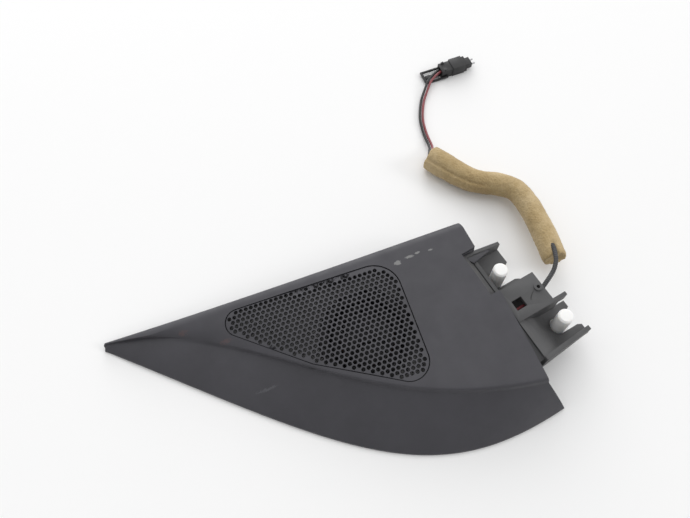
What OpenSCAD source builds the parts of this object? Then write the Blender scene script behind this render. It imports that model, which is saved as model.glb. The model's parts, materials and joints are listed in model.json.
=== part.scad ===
// Car door sail panel with a built-in dome tweeter, its fixing clips and its lead with a plug.
// The panel lies on its open back: z = 0 is the plane of its rim and of the clip tips.
// X runs along the straight far edge from the pointed tip, and Z is up.

/* [Panel] */
// Wall thickness of the moulded panel
wall = 2.5; // [2:0.1:3]
// Radius that rounds the straight far edge
far_r = 5; // [3:0.5:6]
// Depth of the dark step just below the ridge
step_h = 1.6; // [0.8:0.1:2.4]
// Height of the upright rim at the near edge
rim_h = 1.5; // [1:0.1:2.5]
// Number of cross sections along the panel
stations = 36; // [20:1:48]

/* [Grille] */
// Thickness of the perforated grille plate
grille_t = 1.2; // [1:0.1:1.6]
// Diameter of one grille hole
hole_d = 1.9; // [1.4:0.1:2.1]
// Distance between hole centres along a row
hole_pitch = 2.54; // [2.4:0.02:3.2]
// Solid margin between the grille's edge and its holes
hole_margin = 2.4; // [1.8:0.1:4]
// Gap all round the grille
grille_gap = 0.35; // [0.2:0.05:0.6]
// Width of the flange under the grille's edge
flange_w = 2; // [1.5:0.1:2.6]

/* [Tweeter] */
// Radius of the round opening behind the grille
opening_r = 22.8; // [21:0.2:23.4]
// Radius of the dome diaphragm
dome_r = 12.8; // [12:0.1:13]
// Height of the dome above its edge
dome_h = 3; // [2:0.1:3.2]
// Radius of the ring magnet and its plates
magnet_r = 18.5; // [17:0.5:19]
// Diameter of the screws that hold the basket
basket_screw_d = 1.8; // [1.6:0.1:2.2]

/* [Bracket] */
// Height of the bracket plate's top
plate_z = 23.5; // [22:0.1:24]
// Thickness of the bracket's walls and floors
bracket_t = 2; // [1.6:0.1:2.4]
// Height of the tower floors' top
floor_z = 10; // [9:0.5:11]
// Width of the clip slots
slot_w = 8.4; // [8:0.1:9]
// Bore of the small pilot boss
pilot_d = 1.7; // [1.5:0.1:2]

/* [Clips] */
// Diameter of a clip's body
clip_d = 7.4; // [7:0.1:7.6]
// Height of a clip's top
clip_top = 23; // [20:0.5:24]
// Diameter of the flange under the tower floor
clip_flange_d = 11; // [10:0.5:12]

/* [Lead] */
// Outer diameter of the ribbed sleeve
sleeve_d = 2.4; // [2:0.1:3]
// Outer diameter of the foam wrap
foam_d = 12.6; // [9:0.2:13]
// Outer diameter of a wire
wire_d = 1.4; // [1.2:0.1:1.6]

/* [Connector] */
// Length of the connector's rear body
conn_l = 17; // [14:0.5:20]
// Width of the connector
conn_w = 7; // [6:0.2:8]
// Height of the connector
conn_h = 5.6; // [5:0.2:7]

/* [Hidden] */
$fn = 64;
eps = 0.01;

// Control points of the panel's three rails, from the tip to the open end
FAR = [[-112, 50.2, 3.6], [-47, 48.5, 12.5], [4, 49, 19.5], [70.5, 51.5, 24]];
RIDGE = [[-111.6, 49.3, 3], [-43, 42.5, 12], [-14.5, -15, 19], [34.5, -30.5, 24], [81, -34, 21]];
NEAR = [[-112.9, 47.4, 0], [-67.5, 11.5, 0], [-4.5, -43, 0], [20.5, -62.5, 0], [89.5, -45.5, 0]];

// Where the tweeter's axis meets the grille, and the tilt of the grille
tweeter_at = [9.3, 11.1, 20.4];
tilt = [2, -7, 0];
chassis_r = 25.8;
// Corner circles of the grille's outline about that axis: x, y, radius
CORNERS = [[-55.6, 25.7, 6.5], [-21.7, 3, 10], [14.5, -18.4, 9.2], [9.7, 18.2, 13.6]];

// The bracket's own frame: u runs square to the panel's open end, v along it
bracket_at = [12.4, 53.5, 0];
bracket_turn = 13;
u_cut = 47;
clip_upper_at = [60.1, -46.3];
clip_lower_at = [72.2, -80.9];
pilot_at = [69.4, -62.8];
upper_end = 71.2;
lower_end = 82.6;
bracket_screw_at = [[40, -46], [40, -86]];
post_top = [23.3, 20.5];
root_z = 16;

// Routes along the lead, in order from the bracket to the plug
SLEEVE = [
    [88, 2.6, 18.6], [93, 5, 18.6], [100.3, 10, 18.6], [106.9, 14.9, 18.4], [110.9, 19.6, 18],
    [112.9, 24.4, 17.6], [114.4, 29, 15.8], [115.2, 33.5, 12.5]
];
FOAM = [
    [114.6, 23.6, 11.2], [115.8, 35.4, 10.3], [116.3, 47.7, 9.4], [116.1, 58, 8.6], [113.6, 68.6, 8],
    [106.6, 75.2, 7.5], [99.4, 79.2, 7.1], [93.2, 83.6, 6.9], [88.4, 89.4, 6.7], [83.2, 96.4, 6.6],
    [78, 103.7, 6.6]
];
WIRE = [
    [78, 103.7, 6.4], [80.4, 108.4, 4.6], [82.2, 113, 2.6], [82.8, 122.5, 1.2], [84, 131.5, 1.2],
    [86, 138, 1.2], [90, 146.4, 1.2], [94.4, 152.6, 2], [98.4, 157.6, 3], [103, 161, 3.5],
    [107, 162.9, 3.6]
];
LEAD_IN = [[31.6, 3.2, 12], [40, 2.5, 13], [50, 1, 15.5], [60, 0, 17.6], [76, -0.3, 17.8], [88, 2.6, 18.6]];

conn_at = [107, 162.9, 0.2];
conn_turn = 4.6;
// Length of the pin that the latch lever turns on
latch_pin = 4.4;

function pick(n, k) = k == 0 ? 1 : pick(n, k - 1) * (n - k + 1) / k;
function rail(p, t) =
    let (n = len(p) - 1)
    [for (c = [0:2]) sum([for (k = [0:n]) pick(n, k) * pow(1 - t, n - k) * pow(t, k) * p[k][c]])];
function sum(v, i = 0) = i < len(v) ? v[i] + sum(v, i + 1) : 0;
function unit(v) = v / norm(v);
function flat(v) = [v[0], v[1], 0];
function mix(a, b, k) = a + (b - a) * k;

// Line of the panel's skin at t, from the foot of the far wall over the ridge to the near rim.
// It lies w inside the outer surface, and its near foot h inside the outer one.
function skin_line(t, w, h) =
    let (
        f = rail(FAR, t),
        r = rail(RIDGE, t),
        n = rail(NEAR, t),
        d = unit(flat(n - f)),
        fr = min(far_r, 0.8 * f[2], 0.25 * norm(flat(n - f)) + 0.4),
        rr = max(fr - w, 0.25 * fr),
        mid = f + d * 0.9 * fr - [0, 0, 0.44 * fr],
        top = mid + [0, 0, rr],
        g = min(1, norm(n - r) / 12),
        s = max(0, min(1, (t - 0.06) / 0.3)),
        ridge = r - d * 0.5 * w - [0, 0, w],
        below = r + d * (1.6 * g - 0.6 * w) - [0, 0, step_h * g * s * s * (3 - 2 * s) + 0.8 * w],
        foot = flat(n) - d * h,
        lip = foot + [0, 0, rim_h * g],
        crown = 0.018 * norm(r - top)
    )
    concat(
        [flat(mid - d * rr)],
        [for (a = [0:22.5:90]) mid + rr * (-d * cos(a) + [0, 0, sin(a)])],
        [for (k = [0.2:0.2:0.8]) mix(top, ridge, k) + [0, 0, 4 * crown * k * (1 - k)]],
        [ridge, mix(ridge, below, 0.44) + [0, 0, 0.2 * g], below],
        [for (k = [0.25:0.25:0.75]) mix(below, lip, k) + (d + [0, 0, 1]) * 2 * g * k * (1 - k)],
        [lip, foot]
    );

function outer_line(t) = skin_line(t, 0, 0);
function inner_line(t) =
    let (f = rail(FAR, t), span = norm(flat(rail(NEAR, t) - f)))
    skin_line(t, min(wall, 0.35 * f[2]), min(1.8 * wall, 0.3 * span));

// Triangles between rings of equal length
function walls(rings) =
    let (m = len(rings[0]), n = len(rings))
    [
        for (i = [0:n - 2], j = [0:m - 1])
            let (a = i * m + j, b = i * m + (j + 1) % m)
            each [[a, b + m, b], [a, a + m, b + m]]
    ];

// Closed solid over a list of rings
module skin(rings) {
    m = len(rings[0]);
    n = len(rings);
    caps = [[for (j = [0:m - 1]) j], [for (j = [m - 1:-1:0]) (n - 1) * m + j]];
    polyhedron([for (r = rings) each r], concat(walls(rings), caps));
}

// Round tube along a route, with as many sides as asked for
module tube(route, d, sides = 8) {
    n = len(route);
    rings = [
        for (i = [0:n - 1])
            let (
                a = unit(route[min(i + 1, n - 1)] - route[max(i - 1, 0)]),
                e = unit(cross(a, [0, 0, 1])),
                h = cross(e, a)
            )
            [for (k = [0:sides - 1]) route[i] + d / 2 * (e * cos(k * 360 / sides) + h * sin(k * 360 / sides))]
    ];
    skin(rings);
}

// A route moved sideways in plan, to lay two wires side by side
function beside(route, off) =
    let (n = len(route))
    [
        for (i = [0:n - 1])
            let (a = unit(flat(route[min(i + 1, n - 1)] - route[max(i - 1, 0)])))
            route[i] + off * [-a[1], a[0], 0]
    ];

module at_grille() {
    translate(tweeter_at)
        rotate(tilt)
            children();
}

module at_bracket() {
    translate(bracket_at)
        rotate(bracket_turn)
            children();
}

module at_connector() {
    translate(conn_at)
        rotate(conn_turn)
            children();
}

// Plate of the grille's rounded triangle, grown by g, between two heights
module grille_slab(g, z0, z1) {
    translate([0, 0, z0])
        linear_extrude(z1 - z0)
            hull()
                for (c = CORNERS)
                    translate([c[0], c[1]])
                        circle(c[2] + g);
}

module ring(r0, r1, z0, z1) {
    rotate_extrude()
        translate([r0, z0])
            square([r1 - r0, z1 - z0]);
}

// Is p inside the grille's outline by the margin m?
function reach(a) = max([for (c = CORNERS) c[0] * cos(a) + c[1] * sin(a) + c[2]]);
function inside(p, m) = min([for (a = [0:10:350]) reach(a) - p[0] * cos(a) - p[1] * sin(a)]) > m;

module trim_panel() {
    color("#565656")
        difference() {
            panel_shell();
            at_bracket()
                upper_notch();
            at_grille()
                grille_seat();
        }
}

// The panel's wall, open underneath and at the right-hand end
module panel_shell() {
    m = len(outer_line(0));
    rings = [
        for (i = [0:stations])
            let (t = i / stations, inside_line = inner_line(t))
            concat(outer_line(t), [for (j = [m - 1:-1:0]) inside_line[j]])
    ];
    last = stations * 2 * m;
    tip = [for (j = [0:m - 2]) [j, j + 1, 2 * m - 2 - j, 2 * m - 1 - j]];
    end = [for (q = tip) [for (k = [3:-1:0]) q[k] + last]];
    polyhedron([for (r = rings) each r], concat(walls(rings), tip, end), convexity = 8);
}

// Cut-out of the top face beside the upper tower
module upper_notch() {
    translate([u_cut, -55.2, -1])
        cube([30, 24.2, 40]);
}

// Hollow posts under the top face that take the bracket's screws
module screw_posts() {
    color("#565656")
        at_bracket()
            for (i = [0, 1])
                translate([bracket_screw_at[i][0], bracket_screw_at[i][1], root_z])
                    difference() {
                        cylinder(d = 6.4, h = post_top[i] - root_z);
                        translate([0, 0, -1])
                            cylinder(d = 2.5, h = 4.6);
                    }
}

module grille_seat() {
    grille_slab(grille_gap, -5, 8);
    grille_slab(flange_w + 0.05, -9, -grille_t);
}

module speaker_grille() {
    row = hole_pitch * sqrt(3) / 2;
    color("#3c3c3e")
        at_grille() {
            difference() {
                grille_slab(0, -grille_t, 0);
                for (j = [-13:16], i = [-26:10]) {
                    p = [(i + 0.5 * abs(j % 2)) * hole_pitch, j * row];
                    if (inside(p, hole_margin))
                        translate([p[0], p[1], -2])
                            cylinder(d = hole_d, h = 3, $fn = 24);
                }
            }
            difference() {
                grille_slab(flange_w, -2 * grille_t, -grille_t);
                grille_slab(-1.4, -3, 0);
            }
        }
}

module speaker_baffle() {
    color("#6a6a6c")
        at_grille() {
            difference() {
                grille_slab(flange_w, -5.4, -4);
                translate([0, 0, -6])
                    cylinder(r = opening_r, h = 3);
                basket_screw_bores(basket_screw_d, -6, -3);
            }
            difference() {
                grille_slab(flange_w, -4, -2 * grille_t);
                grille_slab(flange_w - 1.4, -5, 0);
                translate([0, 0, -5])
                    cylinder(r = opening_r, h = 5);
                basket_screw_bores(basket_screw_d + 1.4, -4.2, 0);
            }
        }
}

module basket_screw_bores(d, z0, z1) {
    for (a = [60:120:300])
        rotate(a)
            translate([24.4, 0, z0])
                cylinder(d = d, h = z1 - z0);
}

module tweeter_gasket() {
    color("#2c2c2e")
        at_grille()
            difference() {
                intersection() {
                    ring(opening_r + 0.4, chassis_r, -6.2, -5.4);
                    grille_slab(flange_w, -7, -5);
                }
                basket_screw_bores(basket_screw_d + 0.3, -7, -5);
            }
}

module tweeter_basket() {
    color("#232325")
        at_grille()
            difference() {
                intersection() {
                    union() {
                        ring(17.8, chassis_r, -8.2, -6.2);
                        ring(14.6, 20.5, -10, -8.2);
                    }
                    grille_slab(flange_w, -11, -5);
                }
                basket_screw_bores(basket_screw_d + 0.3, -9, -6);
            }
}

module basket_screws() {
    color("#8f9195")
        at_grille()
            for (a = [60:120:300])
                rotate(a)
                    translate([24.4, 0, 0])
                        pan_screw(-8.2, -4.1, basket_screw_d, 2.7);
}

// Screw with its head's seat at z0 and its tip at z1
module pan_screw(z0, z1, d, head_d) {
    translate([0, 0, z0])
        cylinder(d = d, h = z1 - z0);
    difference() {
        translate([0, 0, z0 - 1.1])
            cylinder(d = head_d, h = 1.1);
        for (a = [0, 90])
            rotate(a)
                translate([-head_d / 3, -0.2, z0 - 1.2])
                    cube([head_d / 1.5, 0.4, 0.6]);
    }
}

module dome() {
    sphere_r = (dome_r * dome_r + dome_h * dome_h) / (2 * dome_h);
    rim_a = asin(dome_r / sphere_r);
    shell = 0.35;
    arc = [for (k = [0:12]) rim_a * k / 12];
    color("#b9bbbd")
        at_grille()
            translate([0, 0, -8.2 + dome_h - sphere_r])
                rotate_extrude($fn = 72)
                    polygon(concat(
                        [for (a = arc) sphere_r * [sin(a), cos(a)]],
                        [for (i = [12:-1:0]) (sphere_r - shell) * [sin(arc[i]), cos(arc[i])]]
                    ));
}

module voice_coil() {
    color("#b0703c")
        at_grille() {
            ring(12.5, dome_r, -12.6, -8.5);
            ring(dome_r, dome_r + 0.25, -12.3, -9.9);
        }
}

module surround() {
    color("#1d1d1f")
        at_grille()
            rotate_extrude($fn = 72)
                polygon(concat(
                    [[17.75, -8.2]],
                    [for (a = [0:15:180]) [15.5 + 2.1 * cos(a), -8 + 1.1 * sin(a)]],
                    [[13.2, -8.3], [13.2, -8.5]],
                    [for (a = [180:-15:0]) [15.5 + 1.8 * cos(a), -8.2 + 0.9 * sin(a)]]
                ));
}

module dome_guard() {
    color("#3a3a3c")
        at_grille() {
            ring(18, 22.4, -6.2, -5.2);
            ring(18.4, 20, -5.2, -3.2);
            for (a = [0:120:240])
                rotate(a + 90)
                    translate([2, -0.9, -4.2])
                        cube([17, 1.8, 1]);
            translate([0, 0, -4.4])
                cylinder(r = 3.4, h = 1.5);
        }
}

module damping_pad() {
    color("#4a4a46")
        at_grille()
            ring(1.6, 10.5, -10, -9);
}

module top_plate() {
    color("#9a9c9e")
        at_grille()
            ring(13.35, magnet_r, -12, -10);
}

module magnet() {
    color("#3b3b3d")
        at_grille()
            ring(14.4, magnet_r, -15.4, -12);
}

module yoke() {
    color("#8d8f92")
        at_grille() {
            ring(1.6, magnet_r, -17, -15.4);
            ring(1.6, 12.1, -15.4, -10);
        }
}

module terminals() {
    color("#c9a24a")
        at_grille()
            rotate(-20)
                translate([magnet_r + 2.1, -3.5, -9.4]) {
                    cube([4, 7, 1.2]);
                    for (y = [0.6, 4.2])
                        translate([2.4, y, -3])
                            cube([0.8, 2.2, 3]);
                }
}

module capacitor() {
    color("#2f4f7f")
        at_grille()
            translate([-40, 17, -5.4 - 3.2])
                rotate([0, 90, 0]) {
                    cylinder(d = 6.4, h = 11);
                    for (y = [-1.2, 1.2])
                        translate([0, y, -3])
                            cylinder(d = 0.6, h = 3);
                }
}

module inner_lead_red() {
    color("#9c3a36")
        tube(beside(LEAD_IN, 0.8), wire_d);
}

module inner_lead_black() {
    color("#1c1c1e")
        tube(beside(LEAD_IN, -0.8), wire_d);
}

module clip_bracket() {
    color("#565658")
        at_bracket()
            difference() {
                union() {
                    middle_plate();
                    bracket_root();
                    upper_tower();
                    lower_tower();
                    pilot_boss(plate_z + 1);
                }
                translate([pilot_at[0], pilot_at[1], 10])
                    cylinder(d = pilot_d, h = 20);
                translate([53.9, -67.6, plate_z - 5])
                    cube([5.6, 5.2, 10]);
                translate([50, -69, root_z])
                    cube([5, 7, 4]);
                for (p = bracket_screw_at)
                    translate([p[0], p[1], 0])
                        cylinder(d = 3, h = 30);
                clip_slot(clip_upper_at, upper_end);
                clip_slot(clip_lower_at, lower_end);
            }
}

module middle_plate() {
    translate([0, 0, plate_z - 2.4])
        linear_extrude(2.4)
            polygon([[50.9, -72.6], [72, -72.6], [72, -55], [52.4, -55]]);
    translate([54, -57, floor_z - 2])
        cube([16.5, bracket_t, plate_z - floor_z]);
    translate([54, -72.6, floor_z - 2])
        cube([22, bracket_t, plate_z - floor_z - 1]);
    translate([70, -72.6, plate_z - 6])
        cube([9.4, 1.8, 5.6]);
}

// Web and foot that reach inside the panel, where the screws hold them
module bracket_root() {
    translate([52.4, -90, root_z - 2.5])
        cube([2, 59, 5.5]);
    translate([35, -90, root_z - 2.5])
        cube([19, 50, 2.5]);
    translate([52.4, -72.6, root_z - 2.5])
        cube([2, 17.6, plate_z - root_z + 1]);
    translate([53, -72, root_z - 2.5])
        cube([13, 16, 1.5]);
}

// Side profile extruded across the bracket between two v values
module across(v0, v1, outline) {
    translate([0, v1, 0])
        rotate([90, 0, 0])
            linear_extrude(v1 - v0)
                polygon(outline);
}

module tower_floor(u0, u1, v0, v1) {
    translate([u0, v0, floor_z - bracket_t])
        cube([u1 - u0, v1 - v0, bracket_t]);
}

// Slot for a clip, open at the tower's end u1, where its mouth is bevelled
module clip_slot(at, u1) {
    translate([0, 0, floor_z - bracket_t - 1])
        linear_extrude(bracket_t + 4) {
            translate(at)
                circle(d = slot_w);
            translate([at[0], at[1] - slot_w / 2])
                square([40, slot_w]);
            polygon([
                [u1 - 2, at[1] - slot_w / 2],
                [u1 + 1, at[1] - slot_w / 2 - 1.5],
                [u1 + 1, at[1] + slot_w / 2 + 1.5],
                [u1 - 2, at[1] + slot_w / 2]
            ]);
        }
}

module upper_tower() {
    tower_floor(53, upper_end, -57, -31);
    across(-55.2, -31, [
        [u_cut + 0.2, 23.9], [49.6, 22.4], [51.6, 19], [53, 13], [56, floor_z],
        [56, 8], [52, 8], [50.4, 12], [49.4, 18], [u_cut + 0.2, 20.5]
    ]);
    across(-32.8, -31, [[48, 22.8], [54, 22.6], [upper_end, 16], [upper_end, 8], [52, 8], [48, 20]]);
}

module lower_tower() {
    tower_floor(66, lower_end, -91, -72);
    across(-92, -72, [
        [51, 23.2], [53.5, 22.4], [57, 20.2], [60.4, 17], [63.6, 13.4], [66.5, 10.9], [69, floor_z],
        [69, 8], [65.5, 8.6], [61.4, 11.6], [58, 15], [54, 18.4], [51, 20.8]
    ]);
    hull() {
        translate([50.6, -72.6, 20.4])
            cube([3, 0.6, 2.2]);
        translate([48.6, -92, 19])
            cube([5, 0.6, 2.2]);
    }
    hull() {
        translate([51.2, -93.6, floor_z - 2])
            cube([1, 2.2, plate_z - floor_z + 2]);
        translate([81.5, -90.9, floor_z - 2])
            cube([1, 2.2, 6.5]);
    }
}

module pilot_boss(top) {
    translate([pilot_at[0], pilot_at[1], plate_z - 3.3])
        cylinder(d = 4.2, h = top - plate_z + 3.3);
}

module bracket_screws() {
    color("#8f9195")
        at_bracket()
            for (p = bracket_screw_at)
                translate([p[0], p[1], 0])
                    pan_screw(root_z - 2.5, root_z + 3.4, 2.4, 5);
}

module cable_clip() {
    color("#2a2a2c")
        translate([90.5, 3.8, 18.6])
            rotate(25.6)
                difference() {
                    translate([-1.4, -2.4, -2.2])
                        cube([2.8, 4.8, plate_z - 2.4 - 18.6 + 2.2]);
                    translate([-3, 0, 0])
                        rotate([0, 90, 0])
                            cylinder(d = sleeve_d, h = 6);
                }
}

// Snap clip: body with a domed top, neck in the slot, flange and split barbed shank
module nylon_clip(p) {
    color("#f1efe6")
        at_bracket()
            translate([p[0], p[1], 0]) {
                rotate_extrude()
                    polygon([
                        [0, 2.6], [2.5, 2.6], [2.5, 5.4], [clip_flange_d / 2, 6], [clip_flange_d / 2, 7.7],
                        [clip_d / 2, 7.7], [clip_d / 2, clip_top - 0.8], [clip_d / 2 - 0.8, clip_top],
                        [0, clip_top]
                    ]);
                difference() {
                    rotate_extrude()
                        polygon([[0, 0], [1.2, 0], [3, 2.2], [2.5, 2.6], [0, 2.6]]);
                    translate([-0.4, -5, -1])
                        cube([0.8, 10, 3.4]);
                }
            }
}

module mounting_clip_upper() {
    nylon_clip(clip_upper_at);
}

module mounting_clip_lower() {
    nylon_clip(clip_lower_at);
}

module lead_sleeve() {
    color("#2d2d30")
        tube(SLEEVE, sleeve_d);
}

module foam_wrap() {
    color("#ac9877")
        tube(FOAM, foam_d, 12);
}

module wire_red() {
    color("#a5403c")
        tube(beside(WIRE, -0.85), wire_d);
}

module wire_black() {
    color("#1b1b1d")
        tube(beside(WIRE, 0.85), wire_d);
}

module connector_housing() {
    color("#19191b")
        at_connector()
            difference() {
                union() {
                    translate([0, -conn_w / 2, 0])
                        cube([conn_l, conn_w, conn_h]);
                    translate([7, -conn_w / 2 - 0.5, 0])
                        cube([8, conn_w + 1, conn_h + 0.6]);
                    for (s = [-1, 1])
                        translate([1.8, s * (conn_w / 2 - 0.6) - 0.6, conn_h - eps])
                            cube([1.6, 1.2, 0.8]);
                }
                for (s = [-1, 1])
                    translate([-1, s * 0.95 - 0.85, 2.3])
                        cube([8, 1.7, 2.4]);
                translate([-1, -1.4, -1])
                    cube([10, 2.8, 3]);
                translate([8.2, latch_pin / 2 + 0.2, 0.7])
                    rotate([90, 0, 0])
                        cylinder(d = 0.9, h = latch_pin + 0.4);
                translate([13, -2.9, 1.1])
                    cube([10, 5.8, 3.2]);
            }
}

module connector_insert() {
    color("#141416")
        at_connector()
            difference() {
                translate([13, -2.9, 1.1])
                    cube([7.4, 5.8, 3.2]);
                for (s = [-1, 1])
                    translate([12, s * 1.5 - 0.4, 2.2])
                        cube([10, 0.8, 0.9]);
            }
}

module connector_pins() {
    color("#b9bcc0")
        at_connector()
            for (s = [-1, 1])
                translate([13, s * 1.5 - 0.4, 2.2])
                    cube([10, 0.8, 0.9]);
}

// Release lever in the channel under the housing; its free end lies inside the loop
module connector_latch() {
    color("#1e1e20")
        at_connector() {
            translate([-9.2, -1, 0.3])
                cube([17.4, 2, 0.8]);
            translate([8.2, latch_pin / 2, 0.7])
                rotate([90, 0, 0])
                    cylinder(d = 0.8, h = latch_pin);
            translate([-9.2, -1.2, 0.3])
                cube([2.6, 2.4, 1]);
        }
}

// Loop round the lever's free end, which keeps it from snagging
module connector_loop() {
    reach = conn_w / 2 + 1.2;
    color("#202022")
        at_connector() {
            translate([-11, -reach, 0.4])
                cube([1.3, 2 * reach, 1.3]);
            for (s = [-1, 1])
                translate([-11, s * (reach - 0.6) - 0.6, 0.4])
                    cube([15, 1.2, 1.3]);
        }
}

trim_panel();
screw_posts();
speaker_grille();
speaker_baffle();
tweeter_gasket();
tweeter_basket();
basket_screws();
dome();
voice_coil();
surround();
dome_guard();
damping_pad();
top_plate();
magnet();
yoke();
terminals();
capacitor();
inner_lead_red();
inner_lead_black();
clip_bracket();
bracket_screws();
cable_clip();
mounting_clip_upper();
mounting_clip_lower();
lead_sleeve();
foam_wrap();
wire_red();
wire_black();
connector_housing();
connector_insert();
connector_pins();
connector_latch();
connector_loop();
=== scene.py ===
"""Door sail panel with a tweeter, its clips and its foam-wrapped lead: looks, camera and light."""

import json
import math

import bmesh
import bpy
import numpy as np
from mathutils import Matrix, Vector, noise
from mathutils.geometry import delaunay_2d_cdt

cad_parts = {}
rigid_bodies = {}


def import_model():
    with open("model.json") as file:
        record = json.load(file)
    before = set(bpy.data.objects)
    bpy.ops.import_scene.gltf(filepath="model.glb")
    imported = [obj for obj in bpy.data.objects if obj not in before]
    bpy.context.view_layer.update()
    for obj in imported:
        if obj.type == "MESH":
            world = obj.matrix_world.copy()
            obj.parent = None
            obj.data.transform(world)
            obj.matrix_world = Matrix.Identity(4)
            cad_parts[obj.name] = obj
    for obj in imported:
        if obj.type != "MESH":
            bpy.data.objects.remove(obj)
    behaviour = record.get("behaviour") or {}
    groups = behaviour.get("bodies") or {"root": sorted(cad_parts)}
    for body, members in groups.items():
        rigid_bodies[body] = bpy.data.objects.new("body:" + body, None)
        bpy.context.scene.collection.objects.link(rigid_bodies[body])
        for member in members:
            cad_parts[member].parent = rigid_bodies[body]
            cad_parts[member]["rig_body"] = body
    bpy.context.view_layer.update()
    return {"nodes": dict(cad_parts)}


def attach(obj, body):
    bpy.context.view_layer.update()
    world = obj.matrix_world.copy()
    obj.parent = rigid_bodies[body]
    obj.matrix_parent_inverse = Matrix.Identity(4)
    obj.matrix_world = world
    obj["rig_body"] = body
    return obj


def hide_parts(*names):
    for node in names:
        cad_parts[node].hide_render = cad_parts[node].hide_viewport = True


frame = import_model()
MM = 0.001

# ---------------------------------------------------------------- camera and stage

LENS = 33.39
CAMERA_AT = (-29.55, -80.36, 302.61)
CAMERA_TARGET = (12.4, 53.5, 15)
FLOOR_HALF = 4
FLOOR_DROP = 0.0002
SKY_NEAR = 0.38
SKY_FAR = 0.9


def make_camera():
    """Camera high above the near side, turned a little to the left."""
    data = bpy.data.cameras.new("camera")
    data.sensor_width = 36
    data.lens = LENS
    data.clip_start = 0.01
    camera = bpy.data.objects.new("camera", data)
    bpy.context.scene.collection.objects.link(camera)
    target = Vector(CAMERA_TARGET) * MM
    place = Vector(CAMERA_AT) * MM
    camera.location = place
    camera.rotation_euler = (target - place).to_track_quat("-Z", "Y").to_euler()
    bpy.context.scene.camera = camera


def sun(name, towards, strength, angle):
    """Soft distant lamp that shines from a direction."""
    data = bpy.data.lights.new(name, "SUN")
    data.energy = strength
    data.angle = math.radians(angle)
    lamp = bpy.data.objects.new(name, data)
    bpy.context.scene.collection.objects.link(lamp)
    lamp.rotation_euler = Vector(towards).to_track_quat("Z", "Y").to_euler()


def area_light(name, place, target, size, power):
    """Round soft lamp at a place, turned to a target, in metres."""
    data = bpy.data.lights.new(name, "AREA")
    data.shape = "DISK"
    data.size = size
    data.energy = power
    lamp = bpy.data.objects.new(name, data)
    bpy.context.scene.collection.objects.link(lamp)
    lamp.location = place
    lamp.rotation_euler = (Vector(target) - Vector(place)).to_track_quat("-Z", "Y").to_euler()


def make_stage():
    """Pale floor, a sky that is brighter behind the object, and soft lamps."""
    mesh = bpy.data.meshes.new("floor")
    h = FLOOR_HALF
    mesh.from_pydata([(-h, -h, 0), (h, -h, 0), (h, h, 0), (-h, h, 0)], [], [(0, 1, 2, 3)])
    floor = bpy.data.objects.new("floor", mesh)
    floor.location.z = -FLOOR_DROP
    bpy.context.scene.collection.objects.link(floor)
    paint = bpy.data.materials.new("floor_paper")
    paint.use_nodes = True
    shader = paint.node_tree.nodes["Principled BSDF"]
    shader.inputs["Base Color"].default_value = (0.93, 0.93, 0.93, 1)
    shader.inputs["Roughness"].default_value = 0.9
    mesh.materials.append(paint)
    world = bpy.data.worlds.new("world")
    bpy.context.scene.world = world
    world.use_nodes = True
    tree = world.node_tree
    where = tree.nodes.new("ShaderNodeTexCoord")
    split = tree.nodes.new("ShaderNodeSeparateXYZ")
    tree.links.new(where.outputs["Generated"], split.inputs[0])
    ramp = tree.nodes.new("ShaderNodeMapRange")
    ramp.inputs["From Min"].default_value = -0.8
    ramp.inputs["From Max"].default_value = 0.8
    ramp.inputs["To Min"].default_value = SKY_NEAR
    ramp.inputs["To Max"].default_value = SKY_FAR
    tree.links.new(split.outputs["Y"], ramp.inputs["Value"])
    tree.nodes["Background"].inputs["Color"].default_value = (1, 1, 1, 1)
    tree.links.new(ramp.outputs["Result"], tree.nodes["Background"].inputs["Strength"])
    sun("key", (0.3, 0.35, 1.0), 0.7, 70)
    sun("side", (0.84, -0.3, 0.5), 0.55, 20)
    area_light("rim", (0.25, 1.6, 0.6), (0.0, 0.05, 0.0), 1.2, 9)


make_camera()
make_stage()
bpy.context.scene.view_settings.view_transform = "Standard"

# ---------------------------------------------------------------- routes, in mm as the CAD has them

SLEEVE = [
    (88, 2.6, 18.6), (93, 5, 18.6), (100.3, 10, 18.6), (106.9, 14.9, 18.4), (110.9, 19.6, 18),
    (112.9, 24.4, 17.6), (114.4, 29, 15.8), (115.2, 33.5, 12.5),
]
FOAM = [
    (114.6, 23.6, 11.2), (115.8, 35.4, 10.3), (116.3, 47.7, 9.4), (116.1, 58, 8.6), (113.6, 68.6, 8),
    (106.6, 75.2, 7.5), (99.4, 79.2, 7.1), (93.2, 83.6, 6.9), (88.4, 89.4, 6.7), (83.2, 96.4, 6.6),
    (78, 103.7, 6.6),
]
WIRE = [
    (78, 103.7, 6.4), (80.4, 108.4, 4.6), (82.2, 113, 2.6), (82.8, 122.5, 1.2), (84, 131.5, 1.2),
    (86, 138, 1.2), (90, 146.4, 1.2), (94.4, 152.6, 2), (98.4, 157.6, 3), (103, 161, 3.5),
    (107, 162.9, 3.6),
]
SLEEVE_D = 2.4
FOAM_D = 12.6
WIRE_D = 1.4
SLEEVE_STEP = 0.15
RIB_PITCH = 1.05
FOAM_STEP = 0.4
FOAM_SIDES = 90
WIRE_STEP = 0.6
WIRE_OFFSET = 0.85


def smooth_route(points, per_span=8):
    """Points close together on a Catmull-Rom curve through a route."""
    p = [np.array(q, float) for q in points]
    p = [2 * p[0] - p[1]] + p + [2 * p[-1] - p[-2]]
    out = []
    for i in range(1, len(p) - 2):
        for k in range(per_span):
            s = k / per_span
            a, b, c, d = p[i - 1 : i + 3]
            square = (2 * a - 5 * b + 4 * c - d) * s**2
            cube = (3 * b - a - 3 * c + d) * s**3
            out.append(0.5 * (2 * b + (c - a) * s + square + cube))
    out.append(p[-2])
    return np.array(out)


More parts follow.
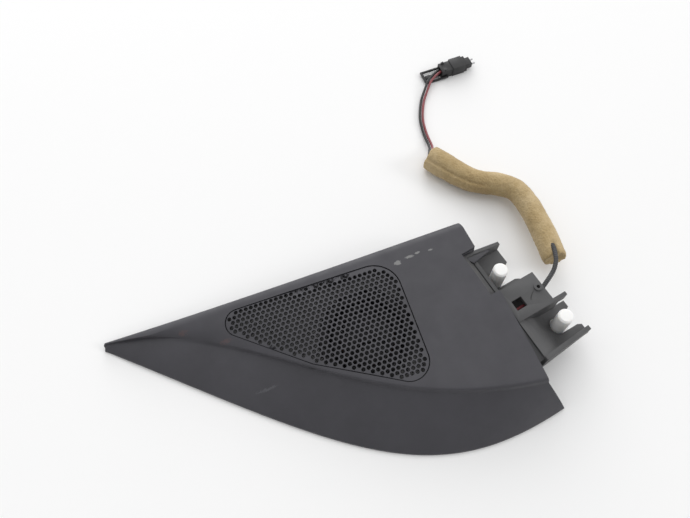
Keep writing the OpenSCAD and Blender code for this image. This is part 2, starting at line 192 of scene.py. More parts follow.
def beside(route, offset):
    """A route moved sideways in plan."""
    step = np.gradient(np.array(route, float), axis=0)
    step[:, 2] = 0
    step /= np.linalg.norm(step, axis=1)[:, None]
    return np.array(route, float) + offset * np.column_stack([-step[:, 1], step[:, 0], 0 * step[:, 0]])


def even(route, step):
    """Resamples a route at an even step."""
    route = np.array(route, float)
    s = np.concatenate([[0], np.cumsum(np.linalg.norm(np.diff(route, axis=0), axis=1))])
    at = np.linspace(0, s[-1], max(2, int(round(s[-1] / step))) + 1)
    return np.column_stack([np.interp(at, s, route[:, k]) for k in range(3)])


# ---------------------------------------------------------------- mesh helpers


def new_piece(name, verts, faces, material, body="panel", replaces=(), sharp=35):
    """A mesh piece in the CAD's frame from vertices in mm."""
    mesh = bpy.data.meshes.new(name)
    mesh.from_pydata([tuple(float(c) * MM for c in v) for v in verts], [], [tuple(f) for f in faces])
    mesh.validate()
    obj = bpy.data.objects.new(name, mesh)
    bpy.context.scene.collection.objects.link(obj)
    return finish_piece(obj, material, body, replaces, sharp)


def face_outwards(mesh):
    """Turns every face of a closed mesh outwards."""
    bm = bmesh.new()
    bm.from_mesh(mesh)
    bmesh.ops.recalc_face_normals(bm, faces=bm.faces)
    bm.to_mesh(mesh)
    bm.free()


def finish_piece(obj, material, body="panel", replaces=(), sharp=35):
    """Gives a piece its material, shading and body, and hides the CAD nodes that it replaces."""
    face_outwards(obj.data)
    obj.data.materials.clear()
    obj.data.materials.append(material)
    shade(obj, sharp)
    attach(obj, body)
    if replaces:
        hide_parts(*replaces)
    return obj


def shade(obj, sharp):
    """Smooth faces, with a sharp edge wherever they meet at more than an angle."""
    for face in obj.data.polygons:
        face.use_smooth = True
    obj.data.set_sharp_from_angle(angle=math.radians(sharp))


def apply_modifiers(obj):
    """Bakes an object's modifiers into its mesh."""
    bpy.context.view_layer.update()
    graph = bpy.context.evaluated_depsgraph_get()
    mesh = bpy.data.meshes.new_from_object(obj.evaluated_get(graph))
    obj.modifiers.clear()
    obj.data = mesh


def tube_rings(route, radius, sides):
    """Rings round a route; radius is one number or a function of (share of length, angle)."""
    route = np.array(route, float)
    n = len(route)
    tangent = np.gradient(route, axis=0)
    tangent /= np.linalg.norm(tangent, axis=1)[:, None]
    rings = []
    for i in range(n):
        e = np.cross(tangent[i], (0, 0, 1))
        e /= np.linalg.norm(e)
        h = np.cross(e, tangent[i])
        ring = []
        for k in range(sides):
            a = 2 * math.pi * k / sides
            r = radius(i / (n - 1), a) if callable(radius) else radius
            ring.append(route[i] + r * (e * math.cos(a) + h * math.sin(a)))
        rings.append(ring)
    return rings


def ring_faces(count, m, closed_ends=True):
    """Faces that join a row of rings of m points each."""
    faces = []
    for i in range(count - 1):
        for j in range(m):
            a, b = i * m + j, i * m + (j + 1) % m
            faces.append((a, b, b + m, a + m))
    if closed_ends:
        faces.append(tuple(range(m - 1, -1, -1)))
        faces.append(tuple((count - 1) * m + j for j in range(m)))
    return faces


def prism_faces(n):
    """Faces of a prism whose first n points are its foot and whose next n are its top."""
    faces = [tuple(range(n - 1, -1, -1)), tuple(range(n, 2 * n))]
    return faces + [(i, (i + 1) % n, n + (i + 1) % n, n + i) for i in range(n)]


def refine(node, material, bevel, segments, angle):
    """Copy of a CAD node with soft, rounded edges and its own material."""
    source = frame["nodes"][node]
    obj = bpy.data.objects.new(node + "_moulded", source.data.copy())
    bpy.context.scene.collection.objects.link(obj)
    bm = bmesh.new()
    bm.from_mesh(obj.data)
    bmesh.ops.remove_doubles(bm, verts=bm.verts, dist=2e-6)
    bmesh.ops.dissolve_limit(bm, angle_limit=math.radians(1.5), verts=bm.verts, edges=bm.edges)
    bm.to_mesh(obj.data)
    bm.free()
    mod = obj.modifiers.new("bevel", "BEVEL")
    mod.width = bevel * MM
    mod.segments = segments
    mod.limit_method = "ANGLE"
    mod.angle_limit = math.radians(angle)
    mod.use_clamp_overlap = True
    mod.miter_outer = "MITER_ARC"
    apply_modifiers(obj)
    return finish_piece(obj, material, source["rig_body"], (node,), 40)


# ---------------------------------------------------------------- materials


def times(colour, factor):
    """A colour made darker or lighter."""
    return tuple(min(1, c * factor) for c in colour)


class Paint:
    """Small helper that builds a node material step by step."""

    def __init__(self, name, roughness=0.5, specular=0.5, metallic=0.0):
        self.material = bpy.data.materials.new(name)
        self.material.use_nodes = True
        self.tree = self.material.node_tree
        self.shader = self.tree.nodes["Principled BSDF"]
        self.shader.inputs["Roughness"].default_value = roughness
        self.shader.inputs["Specular IOR Level"].default_value = specular
        self.shader.inputs["Metallic"].default_value = metallic
        self.where = self.tree.nodes.new("ShaderNodeTexCoord").outputs["Object"]

    def link(self, a, b):
        self.tree.links.new(a, b)

    def noise(self, scale, detail=3.0, rough=0.5, vector=None):
        node = self.tree.nodes.new("ShaderNodeTexNoise")
        node.inputs["Scale"].default_value = scale
        node.inputs["Detail"].default_value = detail
        node.inputs["Roughness"].default_value = rough
        self.link(vector or self.where, node.inputs["Vector"])
        return node.outputs["Fac"]

    def cells(self, scale):
        node = self.tree.nodes.new("ShaderNodeTexVoronoi")
        node.inputs["Scale"].default_value = scale
        self.link(self.where, node.inputs["Vector"])
        return node.outputs["Distance"]

    def ramp(self, value, stops):
        """stops: list of (position, grey or colour)."""
        node = self.tree.nodes.new("ShaderNodeValToRGB")
        ramp = node.color_ramp
        while len(ramp.elements) < len(stops):
            ramp.elements.new(0.5)
        for element, (place, colour) in zip(ramp.elements, stops):
            element.position = place
            rgb = (colour,) * 3 if isinstance(colour, (int, float)) else colour
            element.color = (*rgb, 1)
        self.link(value, node.inputs["Fac"])
        return node.outputs["Color"]

    def math(self, kind, a, b):
        node = self.tree.nodes.new("ShaderNodeMath")
        node.operation = kind
        for socket, value in zip(node.inputs, (a, b)):
            if isinstance(value, (int, float)):
                socket.default_value = value
            else:
                self.link(value, socket)
        return node.outputs[0]

    def mix(self, fac, a, b):
        node = self.tree.nodes.new("ShaderNodeMix")
        node.data_type = "RGBA"
        for socket, value in ((node.inputs["Factor"], fac), (node.inputs["A"], a), (node.inputs["B"], b)):
            if isinstance(value, (int, float)):
                socket.default_value = value
            elif isinstance(value, tuple):
                socket.default_value = (*value, 1)
            else:
                self.link(value, socket)
        return node.outputs["Result"]

    def spot(self, place, size, ragged, scale):
        """Mask of a small ragged mark round a place in mm."""
        node = self.tree.nodes.new("ShaderNodeVectorMath")
        node.operation = "SUBTRACT"
        self.link(self.where, node.inputs[0])
        node.inputs[1].default_value = [c * MM for c in place]
        stretch = self.tree.nodes.new("ShaderNodeVectorMath")
        stretch.operation = "DIVIDE"
        self.link(node.outputs[0], stretch.inputs[0])
        stretch.inputs[1].default_value = [s * MM for s in size]
        length = self.tree.nodes.new("ShaderNodeVectorMath")
        length.operation = "LENGTH"
        self.link(stretch.outputs[0], length.inputs[0])
        jag = self.math("MULTIPLY", self.noise(scale, 4, 0.7), 2 * ragged)
        edge = self.math("ADD", length.outputs["Value"], jag)
        mask = self.tree.nodes.new("ShaderNodeMapRange")
        mask.inputs["From Min"].default_value = 1.0 + ragged
        mask.inputs["From Max"].default_value = 0.7 + ragged
        self.link(edge, mask.inputs["Value"])
        return mask.outputs["Result"]

    def colour(self, value):
        self.link(value, self.shader.inputs["Base Color"])

    def roughness(self, value):
        self.link(value, self.shader.inputs["Roughness"])

    def bump(self, height, strength, distance):
        node = self.tree.nodes.new("ShaderNodeBump")
        node.inputs["Strength"].default_value = strength
        node.inputs["Distance"].default_value = distance * MM
        self.link(height, node.inputs["Height"])
        self.link(node.outputs["Normal"], self.shader.inputs["Normal"])


def moulded_plastic(name, colour, roughness=0.55, grain=2600, depth=0.05, marks=()):
    """Grained matt plastic with slight patches of wear; marks are (place, size, colour) in mm."""
    p = Paint(name, roughness, 0.45)
    patch = p.noise(38, 4, 0.6)
    fine = p.noise(grain, 2, 0.5)
    tone = p.ramp(patch, [(0.3, times(colour, 1 - 0.12)), (0.7, times(colour, 1 + 0.12))])
    tone = p.mix(p.math("MULTIPLY", fine, 0.22), tone, times(colour, 1.5))
    for place, size, tint in marks:
        tone = p.mix(p.spot(place, size, 0.8, 1100), tone, tint)
    p.colour(tone)
    p.roughness(p.ramp(p.noise(120, 3, 0.6), [(0.3, roughness - 0.07), (0.7, roughness + 0.09)]))
    p.bump(fine, 0.5, depth)
    return p.material


def foam_material():
    """Open-cell foam: tan patches, dark pores and pale specks."""
    p = Paint("open_cell_foam", 0.95, 0.15)
    pores = p.cells(950)
    patch = p.noise(55, 5, 0.65)
    speck = p.noise(1400, 3, 0.6)
    tone = p.ramp(patch, [(0.3, (0.34, 0.24, 0.115)), (0.5, (0.43, 0.32, 0.165)), (0.7, (0.54, 0.42, 0.245))])
    tone = p.mix(p.ramp(pores, [(0.0, 0.55), (0.35, 0.0)]), tone, (0.25, 0.17, 0.08))
    tone = p.mix(p.ramp(speck, [(0.55, 0.0), (0.8, 0.5)]), tone, (0.66, 0.54, 0.36))
    p.colour(tone)
    p.bump(p.math("ADD", pores, p.math("MULTIPLY", speck, 0.6)), 0.7, 0.35)
    p.shader.inputs["Sheen Weight"].default_value = 0.15
    return p.material


def rubber_material(name, colour, roughness, grain=1500):
    """Matt rubber, felt or fired ferrite, by its colour, roughness and grain."""
    p = Paint(name, roughness, 0.4)
    fine = p.noise(grain, 3, 0.6)
    p.colour(p.ramp(p.noise(150, 3), [(0.3, times(colour, 0.8)), (0.7, times(colour, 1.25))]))
    p.bump(fine, 0.3, 0.04)
    return p.material


def wire_material(name, colour):
    """Soft plastic sheath of a wire."""
    p = Paint(name, 0.42, 0.5)
    p.colour(p.ramp(p.noise(260, 4, 0.6), [(0.3, times(colour, 0.82)), (0.7, times(colour, 1.2))]))
    p.bump(p.noise(1800, 2), 0.15, 0.03)
    return p.material


def metal_material(name, colour, roughness=0.35):
    """Bare or plated metal with faint streaks."""
    p = Paint(name, roughness, 0.5, 1.0)
    stretch = p.tree.nodes.new("ShaderNodeMapping")
    stretch.inputs["Scale"].default_value = (1, 1, 12)
    p.link(p.where, stretch.inputs["Vector"])
    streak = p.noise(500, 4, 0.6, stretch.outputs["Vector"])
    p.colour(p.ramp(streak, [(0.3, times(colour, 0.8)), (0.7, times(colour, 1.15))]))
    p.roughness(p.ramp(streak, [(0.3, roughness - 0.08), (0.7, roughness + 0.12)]))
    p.bump(streak, 0.15, 0.03)
    return p.material


def nylon_material():
    """White nylon that lets a little light in."""
    p = Paint("white_nylon", 0.38, 0.5)
    p.colour(p.ramp(p.noise(90, 3), [(0.3, (0.90, 0.895, 0.88)), (0.7, (0.95, 0.945, 0.93))]))
    p.shader.inputs["Subsurface Weight"].default_value = 0.25
    p.shader.inputs["Subsurface Radius"].default_value = (1.0, 0.9, 0.8)
    p.shader.inputs["Subsurface Scale"].default_value = 0.001
    p.bump(p.noise(900, 2), 0.12, 0.03)
    return p.material


SCUFF = (0.2, 0.2, 0.2)
BLUSH = (0.085, 0.062, 0.066)
RUB = (0.085, 0.085, 0.095)
PANEL = moulded_plastic(
    "panel_plastic",
    (0.051, 0.050, 0.058),
    marks=[
        ((34.6, 39.6, 24), (1.9, 1.3, 2), SCUFF),
        ((41.2, 40.9, 24), (2.6, 0.8, 2), SCUFF),
        ((45.4, 41.6, 24), (1.8, 0.7, 2), SCUFF),
        ((51.9, 41.1, 24.5), (1.5, 0.6, 2), SCUFF),
        ((29.9, 32.5, 23.5), (1.1, 0.8, 2), SCUFF),
        ((-74.1, 40.5, 13), (4, 2.4, 4), BLUSH),
        ((-55.7, 30.0, 14.5), (5, 2.2, 4), BLUSH),
        ((-44.5, 3.4, 9.5), (9, 1.2, 5), RUB),
    ],
)
BRACKET = moulded_plastic("bracket_plastic", (0.07, 0.07, 0.072), 0.58)
GRILLE = moulded_plastic("grille_plastic", (0.055, 0.054, 0.062), 0.5)
# Baffle shelf: a lighter grey than the other plastics. This is painted light that makes up for the shade
# falling on it under the grille.
SHELF_PAINTED_LIGHT = moulded_plastic("shelf_plastic_painted_light", (0.12, 0.12, 0.12), 0.6)
BLACK = moulded_plastic("black_plastic", (0.014, 0.014, 0.015), 0.42, 1800, 0.03)
GUARD = moulded_plastic("guard_plastic", (0.02, 0.02, 0.021), 0.5)
FOAM_TAN = foam_material()
SLEEVE_BLACK = rubber_material("sleeve_rubber", (0.05, 0.05, 0.053), 0.5)
GASKET = rubber_material("gasket_rubber", (0.03, 0.03, 0.03), 0.85)
SURROUND = rubber_material("surround_rubber", (0.02, 0.02, 0.022), 0.6)
RED = wire_material("red_sheath", (0.24, 0.052, 0.06))
DARK = wire_material("black_sheath", (0.016, 0.017, 0.017))
NYLON = nylon_material()
STEEL = metal_material("zinc_steel", (0.62, 0.63, 0.65))
TIN = metal_material("tin_contacts", (0.42, 0.42, 0.43), 0.4)
BRASS = metal_material("terminal_brass", (0.75, 0.58, 0.28), 0.3)
COPPER = metal_material("enamelled_copper", (0.10, 0.05, 0.03), 0.5)
BLACK_ZINC = metal_material("black_zinc", (0.05, 0.05, 0.055), 0.5)
FERRITE = rubber_material("sintered_ferrite", (0.06, 0.06, 0.065), 0.7, 2500)
DOME = rubber_material("coated_silk_dome", (0.05, 0.05, 0.052), 0.5, 3200)
FELT = rubber_material("damping_felt", (0.10, 0.10, 0.09), 0.95, 900)
CAPACITOR = moulded_plastic("capacitor_sleeve", (0.03, 0.08, 0.2), 0.35, 900, 0.02)

# ---------------------------------------------------------------- panel surface, as in the CAD

WALL = 2.5
FAR_R = 5.0
STEP_H = 1.6
RIM_H = 1.5
TIP = 0.004
STATIONS = 120
NOSE_RINGS = 8
NOSE_LENGTH = 1.5
CROWN = 0.018
NEAR_FADE = 12
GRILLE_T = 1.2
GRILLE_SINK = 0.3
FAR = [(-112, 50.2, 3.6), (-47, 48.5, 12.5), (4, 49, 19.5), (70.5, 51.5, 24)]
RIDGE = [(-111.6, 49.3, 3), (-43, 42.5, 12), (-14.5, -15, 19), (34.5, -30.5, 24), (81, -34, 21)]
NEAR = [(-112.9, 47.4, 0), (-67.5, 11.5, 0), (-4.5, -43, 0), (20.5, -62.5, 0), (89.5, -45.5, 0)]
TWEETER = np.array((9.3, 11.1, 20.4))
TILT = (math.radians(2), math.radians(-7), 0)
CORNERS = [(-55.6, 25.7, 6.5), (-21.7, 3, 10), (14.5, -18.4, 9.2), (9.7, 18.2, 13.6)]
BRACKET_AT = np.array((12.4, 53.5, 0))
BRACKET_TURN = math.radians(13)
UP = np.array((0, 0, 1.0))


def fade(x):
    """Smooth step from 0 to 1."""
    x = max(0.0, min(1.0, x))
    return x * x * (3 - 2 * x)


def rail(points, t):
    """Point at t on a Bezier curve."""
    n = len(points) - 1
    weights = [math.comb(n, k) * (1 - t) ** (n - k) * t**k for k in range(n + 1)]
    return sum(w * np.array(p, float) for w, p in zip(weights, points))


def flat(v):
    """A vector's shadow in plan."""
    return np.array((v[0], v[1], 0))


def corner(a, b, c, size, count):
    """Rounds the corner b between a and c with a quadratic curve."""
    u, v = a - b, c - b
    p = b + u * min(0.45, size / max(np.linalg.norm(u), 1e-6))
    q = b + v * min(0.45, size / max(np.linalg.norm(v), 1e-6))
    return [(1 - s) ** 2 * p + 2 * s * (1 - s) * b + s * s * q for s in np.linspace(0, 1, count)]


def skin_line(t, w=0.0, h=0.0):
    """Line of the skin at t, far foot to near foot, w inside the surface and h inside the rim."""
    f, r, n = rail(FAR, t), rail(RIDGE, t), rail(NEAR, t)
    d = flat(n - f)
    d /= np.linalg.norm(d)
    fr = min(FAR_R, 0.8 * f[2], 0.45 * np.linalg.norm(flat(r - f)) + 0.1)
    rr = max(fr - w, 0.25 * fr)
    mid = f + d * 0.9 * fr - UP * 0.44 * fr
    top = mid + UP * rr
    g = min(1, np.linalg.norm(n - r) / NEAR_FADE)
    ridge = r - d * 0.5 * w - UP * w
    step = fade((t - 0.06) / 0.3)
    below = r + d * ((1.6 - 0.7 * step) * g - 0.6 * w) - UP * ((STEP_H + 1.0) * g * step + 0.8 * w)
    foot = flat(n) - d * h
    lip = foot + UP * RIM_H * g
    crown = CROWN * np.linalg.norm(r - top)
    out = [flat(mid - d * rr) * (1 - s) + (mid - d * rr) * s for s in np.linspace(0, 0.9, 4)]
    out += [mid + rr * (-d * math.cos(a) + UP * math.sin(a)) for a in np.radians(np.linspace(0, 90, 13))]
    face = [top + (ridge - top) * s + UP * 4 * crown * s * (1 - s) for s in np.linspace(0, 1, 25)]
    slope = [below + (lip - below) * s + (d + UP) * 2 * g * s * (1 - s) for s in np.linspace(0, 1, 21)]
    out += face[1:-1]
    out += corner(face[-2], ridge, below, 2.0 * g, 7)
    out += corner(ridge, below, slope[1], 0.6 * g, 5)
    out += slope[1:-1]
    out += corner(slope[-2], lip, foot, 0.6 * g, 5)
    out += [foot]
    return np.array(out)


def inner_line(t):
    """Line of the hollow's surface at t, thinner where the panel is low or narrow."""
    f = rail(FAR, t)
    span = np.linalg.norm(flat(rail(NEAR, t) - f))
    return skin_line(t, min(WALL, 0.35 * f[2]), min(1.8 * WALL, 0.3 * span))


def at_grille(points):
    """Points in the grille's frame, moved to the panel's."""
    tilt = Matrix.Rotation(TILT[1], 4, "Y") @ Matrix.Rotation(TILT[0], 4, "X")
    m = np.array(tilt.to_3x3())
    return np.array(points, float) @ m.T + TWEETER


def at_bracket(points):
    """Points in the bracket's frame, moved to the panel's."""
    c, s = math.cos(BRACKET_TURN), math.sin(BRACKET_TURN)
    p = np.array(points, float)
    return np.column_stack([p[:, 0] * c - p[:, 1] * s, p[:, 0] * s + p[:, 1] * c, p[:, 2]]) + BRACKET_AT


def reach(a):
    """How far the rounded triangle reaches at an angle."""
    return max(x * math.cos(a) + y * math.sin(a) + r for x, y, r in CORNERS)


def grille_outline(grow=0.0):
    """Outline of the rounded triangle as points, by walking the hull of its corner circles."""
    out = []
    for a in np.radians(np.arange(0, 360, 3)):
        x, y, r = max(CORNERS, key=lambda c: c[0] * math.cos(a) + c[1] * math.sin(a) + c[2])
        out.append((x + (r + grow) * math.cos(a), y + (r + grow) * math.sin(a)))
    dense = []
    for i, p in enumerate(out):
        q = out[(i + 1) % len(out)]
        n = max(1, int(math.dist(p, q) / 1.5))
        dense += [(p[0] + (q[0] - p[0]) * k / n, p[1] + (q[1] - p[1]) * k / n) for k in range(n)]
    return dense


def plain_object(name, verts, faces):
    """Object from vertices in mm, with its faces outwards and no material yet."""
    mesh = bpy.data.meshes.new(name)
    mesh.from_pydata([tuple(v * MM) for v in verts], [], faces)
    obj = bpy.data.objects.new(name, mesh)
    bpy.context.scene.collection.objects.link(obj)
    face_outwards(mesh)
    return obj


def cutter(name, outline, z0, z1, place):
    """Closed prism used to cut a piece; place moves its points into the panel's frame."""
    low = [(x, y, z0) for x, y in outline]
    high = [(x, y, z1) for x, y in outline]
    return plain_object(name, place(low + high), prism_faces(len(outline)))


def cut(obj, tools):
    """Cuts the tools out of an object and deletes them."""
    for tool in tools:
        mod = obj.modifiers.new("cut", "BOOLEAN")
        mod.operation = "DIFFERENCE"
        mod.solver = "EXACT"
        mod.object = tool
    apply_modifiers(obj)
    for tool in tools:
        bpy.data.objects.remove(tool)


def make_nose():
    """Rounded nose that closes the panel's pointed end."""
    line = skin_line(TIP)
    line[:, 2] = np.maximum(line[:, 2], 0)
    middle = np.array((line[:, 0].mean(), line[:, 1].mean(), 0))
    verts = []
    for i in range(NOSE_RINGS):
        a = math.pi / 2 * i / NOSE_RINGS
        forward = np.array((-NOSE_LENGTH * math.sin(a), 0, 0))
        verts += list(middle + (line - middle) * math.cos(a) + forward)
    m = len(line)
    faces = ring_faces(NOSE_RINGS, m, closed_ends=False)
    faces += [tuple(range(m)), tuple((NOSE_RINGS - 1) * m + j for j in reversed(range(m)))]
    new_piece("panel_nose", verts, faces, PANEL, "panel", (), 50)


def prism(name, outline, low, high, material):
    """Solid between two lists of heights over an outline in the bracket's frame."""
    points = [(*q, z) for q, z in zip(outline, low)] + [(*q, z) for q, z in zip(outline, high)]
    faces = prism_faces(len(outline))
    piece = new_piece(name, at_bracket(points), faces, material, "panel", (), 30)
    mod = piece.modifiers.new("bevel", "BEVEL")
    mod.width = 0.15 * MM
    mod.segments = 2
    apply_modifiers(piece)
    shade(piece, 40)


def make_panel():
    """Thin shell swept along the rails, with the grille's seat and the notch cut out."""
    rings = []
    for i in range(STATIONS + 1):
        t = TIP + (1 - TIP) * i / STATIONS
        rings.append(np.vstack([skin_line(t), inner_line(t)[::-1]]))
    m = len(rings[0])
    half = m // 2
    faces = ring_faces(len(rings), m, closed_ends=False)
    last = STATIONS * m
    for j in range(half - 1):
        quad = (j, j + 1, m - 2 - j, m - 1 - j)
        faces.append(quad)
        faces.append(tuple(last + k for k in reversed(quad)))
    obj = plain_object("trim_panel_shell", [v for r in rings for v in r], faces)
    notch = [(47, -55.2), (77, -55.2), (77, -31), (47, -31)]
    cut(
        obj,
        [
            cutter("seat", grille_outline(0.35), -5, 8, at_grille),
            cutter("pocket", grille_outline(2.05), -9, -1.2, at_grille),
            cutter("notch", notch, -1, 39, at_bracket),
        ],
    )
    finish_piece(obj, PANEL, "panel", ("trim_panel",), 28)


def face_height():
    """Height of the panel's face over a point in plan, as a fourth-power surface fitted to it."""
    rows, heights = [], []
    for t in np.linspace(0.2, 0.92, 60):
        line = skin_line(t)[16:40]
        for x, y, z in line:
            rows.append(terms(x, y))
            heights.append(z)
    fit = np.linalg.lstsq(np.array(rows), np.array(heights), rcond=None)[0]
    return lambda x, y: float(np.dot(terms(x, y), fit))


def terms(x, y):
    """Terms of the fitted surface, up to the fourth power."""
    a, b = x / 50, y / 50
    return [a**i * b**j for i in range(5) for j in range(5 - i)]


make_panel()
make_nose()
height_at = face_height()


PITCH = 2.54
HOLE_R = 0.96
HOLE_MARGIN = 1.3
HOLE_SIDES = 16


def hole_centres():
    """Staggered rows of holes, wherever one fits inside the outline."""
    row = PITCH * math.sqrt(3) / 2
    angles = np.radians(np.arange(0, 360, 2))
    limits = np.array([reach(a) for a in angles])
    centres = []
    for j in range(-13, 17):
        for i in range(-26, 11):
            x, y = (i + 0.5 * (j % 2)) * PITCH, j * row
            if np.min(limits - x * np.cos(angles) - y * np.sin(angles)) > HOLE_MARGIN:
                centres.append((x, y))
    return centres


def same_ring(rings):
    """Do a triangle's three corners lie on one hole's ring?"""
    return rings[0] >= 0 and rings[0] == rings[1] == rings[2]


def lift(x, y, depth):
    """Point at a depth under the plate's face."""
    gx, gy, _ = at_grille([(x, y, 0)])[0]
    return (gx, gy, height_at(gx, gy) - GRILLE_SINK - depth)


def wall(loop, base, below):
    """Faces from a loop on the face, over two rings that start at base, to the loop underneath."""
    n = len(loop)
    levels = [loop, range(base, base + n), range(base + n, base + 2 * n), [below + k for k in loop]]
    faces = []
    for k in range(n):
        q = (k + 1) % n
        faces += [(high[k], high[q], low[q], low[k]) for high, low in zip(levels, levels[1:])]
    return faces


def make_grille():
    """Perforated plate that follows the panel's face, with a soft edge at each hole."""
    centres = hole_centres()
    edge = grille_outline(0.0)
    inset = grille_outline(-0.2)
    sides = HOLE_SIDES
    circle = [(math.cos(2 * math.pi * k / sides), math.sin(2 * math.pi * k / sides)) for k in range(sides)]
    points = [Vector(p) for p in inset]
    loops = [list(range(len(inset)))]
    for cx, cy in centres:
        start = len(points)
        points += [Vector((cx + (HOLE_R + 0.1) * x, cy + (HOLE_R + 0.1) * y)) for x, y in circle]
        loops.append(list(range(start, start + sides))[::-1])
    segments = [(loop[k], loop[(k + 1) % len(loop)]) for loop in loops for k in range(len(loop))]
    flat_points, _, tris, orig, _, _ = delaunay_2d_cdt(points, segments, [loops[0]], 1, 1e-5)
    place_of = {old: new for new, olds in enumerate(orig) for old in olds}
    ring_of = {
        new: -1 if old < len(inset) else (old - len(inset)) // sides
        for old, new in place_of.items()
    }
    tris = [t for t in tris if not same_ring([ring_of.get(k, -1) for k in t])]
    verts = [lift(p[0], p[1], 0) for p in flat_points]
    count = len(verts)
    verts += [lift(p[0], p[1], GRILLE_T) for p in flat_points]
    faces = [tuple(t) for t in tris] + [tuple(count + k for k in reversed(t)) for t in tris]
    faces += wall([place_of[k] for k in loops[0]], len(verts), count)
    verts += [lift(x, y, depth) for depth in (0.2, GRILLE_T) for x, y in edge]
    for (cx, cy), loop in zip(centres, loops[1:]):
        faces += wall([place_of[k] for k in reversed(loop)], len(verts), count)
        verts += [
            lift(cx + HOLE_R * x, cy + HOLE_R * y, depth) for depth in (0.12, GRILLE_T) for x, y in circle
        ]
    new_piece("grille_plate", verts, faces, GRILLE, "panel", ("speaker_grille",), 30)


make_grille()

# ---------------------------------------------------------------- lead


def make_tube(name, route, radius, sides, material, node):
    """Tube of rings round a route, with closed ends."""
    rings = tube_rings(route, radius, sides)
    verts = [v for r in rings for v in r]
    return new_piece(name, verts, ring_faces(len(rings), sides), material, "panel", (node,), 60)


def make_sleeve():
    """Ribbed sleeve: rings that swell and narrow at an even pitch. It runs on inside the foam."""
    route = even(smooth_route(SLEEVE + FOAM[2:-1]), SLEEVE_STEP)

    def ribs(share, a):
        turn = 2 * math.pi * share * len(route) * SLEEVE_STEP / RIB_PITCH
        return SLEEVE_D / 2 * (0.91 + 0.09 * math.cos(turn))

    piece = make_tube("lead_sleeve_ribbed", route, ribs, 16, SLEEVE_BLACK, "lead_sleeve")
    return piece, route


def foam_radius(s, a):
    """Foam's radius at a share of its length: slit at the top of one end, a lap along the other half."""
    deg = math.degrees(a)
    lap = fade((s - 0.56) / 0.2)
    slit = 1 - fade((s - 0.045) / 0.05)
    r = FOAM_D / 2 * (0.965 + 0.012 * math.sin(11 * s)) * (1 + 0.13 * fade((s - 0.7) / 0.3))
    r += lap * 0.55 * fade((deg - 143) / 8) * (1 - fade((deg - 205) / 30))
    r -= lap * 0.4 * math.exp(-(((deg - 139) / 6) ** 2))
    r -= slit * 1.5 * math.exp(-(((deg - 92) / 13) ** 2))
    return r


def make_foam():
    """Foam sleeve wrapped round the lead: lumpy, with torn ends, flat where it lies on the table."""
    route = even(smooth_route(FOAM), FOAM_STEP)
    sides = FOAM_SIDES
    rings = tube_rings(route, foam_radius, sides)
    count = len(rings)
    out = []
    for i, ring in enumerate(rings):
        near_end = max(0.0, 1 - min(i, count - 1 - i) * FOAM_STEP / 3)
        along = route[min(i + 1, count - 1)] - route[max(i - 1, 0)]
        along /= np.linalg.norm(along)
        for v in ring:
            q = Vector(v)
            away = (np.array(v) - route[i]) / np.linalg.norm(np.array(v) - route[i])
            lump = 0.26 * noise.noise(q * 0.16) + 0.14 * noise.noise(q * 0.5) + 0.09 * noise.noise(q * 1.7)
            torn = near_end * (0.7 * noise.noise(q * 0.35 + Vector((7, 3, 1))) + 0.25 * noise.noise(q * 1.3))
            point = np.array(v) + away * (lump - 0.35 * near_end**3) + along * torn
            point[2] = max(point[2], 0.02)
            out.append(point)
    faces = ring_faces(count, sides, closed_ends=False)
    for ring, inward in ((0, 1), (count - 1, -1)):
        start = ring * sides
        centre = np.mean(out[start : start + sides], axis=0)
        step = (route[1] - route[0]) if ring == 0 else (route[-1] - route[-2])
        step = step / np.linalg.norm(step) * inward
        previous = [start + k for k in range(sides)]
        for scale, depth in ((0.94, -0.2), (0.75, 0.1), (0.5, 0.2), (0.3, 0.9), (0.12, 1.2)):
            base = len(out)
            for k in range(sides):
                q = centre + (out[start + k] - centre) * scale
                rough = 0.22 * noise.noise(Vector(q) * 1.1)
                out.append(q + step * (depth + rough))
            following = [base + k for k in range(sides)]
            for k in range(sides):
                q = (k + 1) % sides
                faces.append((previous[k], previous[q], following[q], following[k]))
            previous = following
        faces.append(tuple(previous))
    return new_piece("foam_wrap_tube", out, faces, FOAM_TAN, "panel", ("foam_wrap",), 60)


def make_wire(name, offset, material, node):
    """One wire of the pair, to one side of the lead's middle line."""
    route = even(smooth_route(beside(WIRE, offset)), WIRE_STEP)
    return make_tube(name, route, WIRE_D / 2, 14, material, node), route


sleeve, sleeve_route = make_sleeve()
foam = make_foam()
wire_red, red_route = make_wire("wire_red_sheath", -WIRE_OFFSET, RED, "wire_red")
wire_black, black_route = make_wire("wire_black_sheath", WIRE_OFFSET, DARK, "wire_black")

# ---------------------------------------------------------------- hard parts

refine("clip_bracket", BRACKET, 0.3, 2, 30)
prism(
    "bracket_bevel_strip", [(46.9, -55), (51.6, -55), (51.6, -33), (46.9, -33)],
    [18.6, 18.6, 18.6, 18.6], [23.4, 19.9, 19.9, 23.8], BRACKET,
)
prism(
    "tower_gusset", [(47.4, -31.2), (51.9, -36.2), (64.5, -33.4), (55.5, -31.2)],
    [20.6, 19.4, 16.6, 19.6], [23.2, 20.6, 17.8, 21.8], PANEL,
)
prism(
    "notch_lip", [(46.9, -31.35), (54.7, -31.35), (54.7, -30.8), (46.9, -30.8)],
    [20.5, 20.5, 20.5, 20.5], [24.9, 24.9, 24.9, 24.9], PANEL,
)
prism(
    "scoop_seam", [(49.8, -72.8), (47.8, -91.8), (49.4, -91.8), (51.2, -72.8)],
    [20.2, 18.8, 18.8, 20.2], [22.45, 21.0, 21.0, 22.45], BRACKET,
)
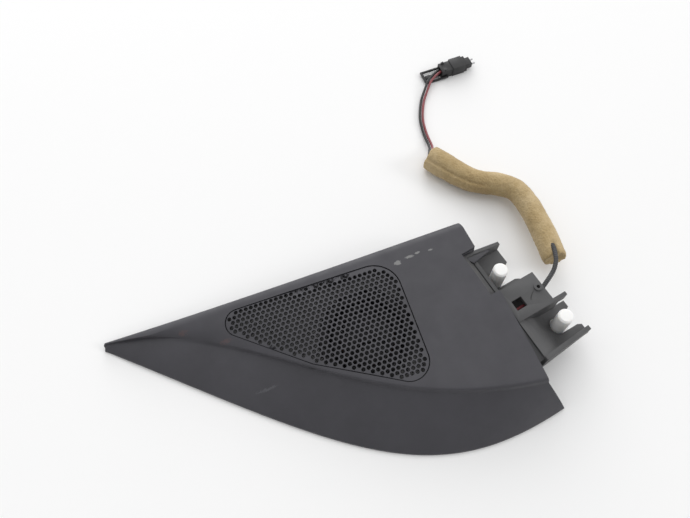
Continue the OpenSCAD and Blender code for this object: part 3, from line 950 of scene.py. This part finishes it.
# Thin black line on the bracket's plate: painted shade that stands in for the dark inside a groove.
groove_shade_route = even(smooth_route([(91.3, 6.8, 23.5), (89.3, 4.7, 23.5), (88.3, 2.9, 23.5)]), 0.3)
groove_shade_rings = tube_rings(groove_shade_route, lambda share, a: 0.12 + 0.1 * math.sin(math.pi * share), 8)
new_piece(
    "plate_groove_painted_shade", [v for r in groove_shade_rings for v in r], ring_faces(len(groove_shade_rings), 8),
    BLACK, "panel",
)
for clip_node in ("mounting_clip_upper", "mounting_clip_lower"):
    refine(clip_node, NYLON, 0.25, 3, 30)
plug_pieces = [
    refine("connector_housing", BLACK, 0.12, 2, 30),
    refine("connector_insert", BLACK, 0.15, 2, 30),
    refine("connector_pins", TIN, 0.1, 1, 30),
    refine("connector_latch", BLACK, 0.12, 2, 30),
    refine("connector_loop", BLACK, 0.3, 3, 30),
]
for node, material, bevel, segments, slot in (
    ("cable_clip", BLACK, 0.2, 2, "basket_plastic"),
    ("screw_posts", BRACKET, 0.2, 2, "panel_plastic"),
    ("bracket_screws", STEEL, 0.12, 2, "screw_steel"),
    ("basket_screws", BLACK_ZINC, 0.1, 2, "screw_steel"),
    ("dome_guard", GUARD, 0.2, 2, "basket_plastic"),
    # the baffle's lighter grey is painted light
    ("speaker_baffle", SHELF_PAINTED_LIGHT, 0.2, 2, "baffle_plastic"),
    ("tweeter_basket", BLACK, 0.2, 2, "basket_plastic"),
    ("capacitor", CAPACITOR, 0.3, 3, "capacitor_film"),
    ("terminals", BRASS, 0.1, 1, "terminal_brass"),
    ("top_plate", STEEL, 0.15, 2, "plated_steel"),
    ("magnet", FERRITE, 0.2, 2, "ferrite"),
    ("yoke", STEEL, 0.2, 2, "plated_steel"),
    ("tweeter_gasket", GASKET, 0.15, 2, "gasket_foam"),
    ("damping_pad", FELT, 0.2, 2, "felt"),
):
    refine(node, material, bevel, segments, 40)


def repaint(node, material):
    """Gives a CAD node, left in its own shape, a material."""
    data = frame["nodes"][node].data
    data.materials.clear()
    data.materials.append(material)


for name, paint in (
    ("dome", DOME), ("voice_coil", COPPER), ("surround", SURROUND),
    ("inner_lead_red", RED), ("inner_lead_black", DARK),
):
    repaint(name, paint)
